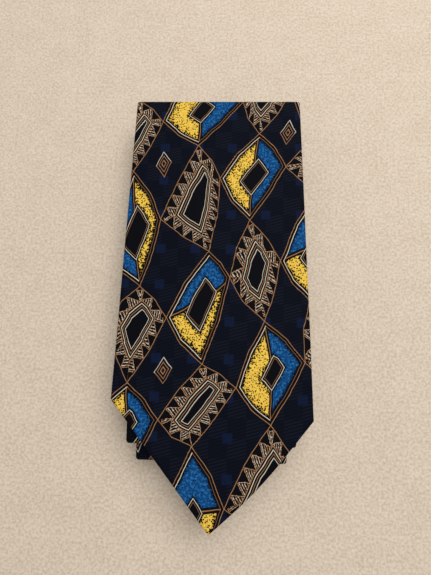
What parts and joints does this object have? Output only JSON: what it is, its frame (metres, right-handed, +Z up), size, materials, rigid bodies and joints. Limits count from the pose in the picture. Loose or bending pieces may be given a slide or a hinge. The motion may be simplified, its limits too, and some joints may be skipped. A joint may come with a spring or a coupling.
{
  "type": "necktie",
  "caption": "Silk necktie folded flat in an accordion, pointed wide blade face up on top, narrow lined tail underneath, with a sewn keeper loop at the back.",
  "frame": {"origin": "on the floor, under the middle of the folded tie's box", "axes": "+Y from the blade's point to the folds behind it, +Z up out of the blade's face, +X across the tie"},
  "size_m": [0.1, 0.2236, 0.025],
  "materials": {
    "silk": "printed woven silk",
    "lining": "smooth lining",
    "interlining": "brushed wool",
    "thread": "twisted thread",
    "label": "blank woven label"
  },
  "bodies": {
    "blade_panel": {"front_blade_shell": "silk", "front_interlining": "interlining", "blade_tipping": "lining", "slip_stitch_1": "thread", "keeper_loop": "silk", "maker_label": "label", "blade_bar_tack": "thread", "care_tag": "label", "shell_bend_1": "silk", "interlining_bend_1": "interlining"},
    "blade_panel_2": {"blade_shell_2": "silk", "interlining_2": "interlining", "slip_stitch_2": "thread", "shell_bend_2": "silk", "interlining_bend_2": "interlining"},
    "blade_panel_3": {"blade_shell_3": "silk", "interlining_3": "interlining", "slip_stitch_3": "thread", "shell_bend_3": "silk", "interlining_bend_3": "interlining"},
    "blade_panel_4": {"blade_shell_4": "silk", "interlining_4": "interlining", "slip_stitch_4": "thread", "shell_bend_4": "silk", "interlining_bend_4": "interlining"},
    "neck_panel_5": {"blade_shell_5": "silk", "neck_shell_5": "silk", "interlining_5": "interlining", "slip_stitch_5": "thread", "shell_bend_5": "silk", "interlining_bend_5": "interlining"},
    "neck_panel_6": {"neck_shell_6": "silk", "interlining_6": "interlining", "slip_stitch_6": "thread", "shell_bend_6": "silk", "interlining_bend_6": "interlining"},
    "tail_panel_7": {"neck_shell_7": "silk", "tail_shell_7": "silk", "interlining_7": "interlining", "slip_stitch_7": "thread", "shell_bend_7": "silk", "interlining_bend_7": "interlining"},
    "tail_panel": {"tail_shell_8": "silk", "interlining_8": "interlining", "tail_tipping": "lining", "slip_stitch_8": "thread", "tail_bar_tack": "thread", "size_tag": "label"}
  },
  "joints": [
    {"name": "tail_fold", "type": "hinge", "parent": "tail_panel", "child": "tail_panel_7", "pos_m": [0, 0.10418, 0.00315], "axis": [-1, 0, 0], "range_deg": [0, 179.9], "deforming": ["shell_bend_7", "interlining_bend_7"]},
    {"name": "sixth_fold", "type": "hinge", "parent": "tail_panel_7", "child": "neck_panel_6", "pos_m": [0, -0.07583, 0.0065], "axis": [1, 0, 0], "range_deg": [0, 179.9], "deforming": ["shell_bend_6", "interlining_bend_6"]},
    {"name": "fifth_fold", "type": "hinge", "parent": "neck_panel_6", "child": "neck_panel_5", "pos_m": [0, 0.10618, 0.0095], "axis": [-1, 0, 0], "range_deg": [0, 179.9], "deforming": ["shell_bend_5", "interlining_bend_5"]},
    {"name": "fourth_fold", "type": "hinge", "parent": "neck_panel_5", "child": "blade_panel_4", "pos_m": [0, -0.07883, 0.0125], "axis": [1, 0, 0], "range_deg": [0, 179.9], "deforming": ["shell_bend_4", "interlining_bend_4"]},
    {"name": "third_fold", "type": "hinge", "parent": "blade_panel_4", "child": "blade_panel_3", "pos_m": [0, 0.10718, 0.0155], "axis": [-1, 0, 0], "range_deg": [0, 179.9], "deforming": ["shell_bend_3", "interlining_bend_3"]},
    {"name": "second_fold", "type": "hinge", "parent": "blade_panel_3", "child": "blade_panel_2", "pos_m": [0, -0.06982, 0.0185], "axis": [1, 0, 0], "range_deg": [0, 179.9], "deforming": ["shell_bend_2", "interlining_bend_2"]},
    {"name": "blade_fold", "type": "hinge", "parent": "blade_panel_2", "child": "blade_panel", "pos_m": [0, 0.10867, 0.02185], "axis": [-1, 0, 0], "range_deg": [0, 179.9], "deforming": ["shell_bend_1", "interlining_bend_1"]}
  ],
  "couplings": [
    {"joint": "second_fold", "follows": "third_fold", "ratio": 1},
    {"joint": "fourth_fold", "follows": "fifth_fold", "ratio": 1},
    {"joint": "sixth_fold", "follows": "tail_fold", "ratio": 1}
  ]
}
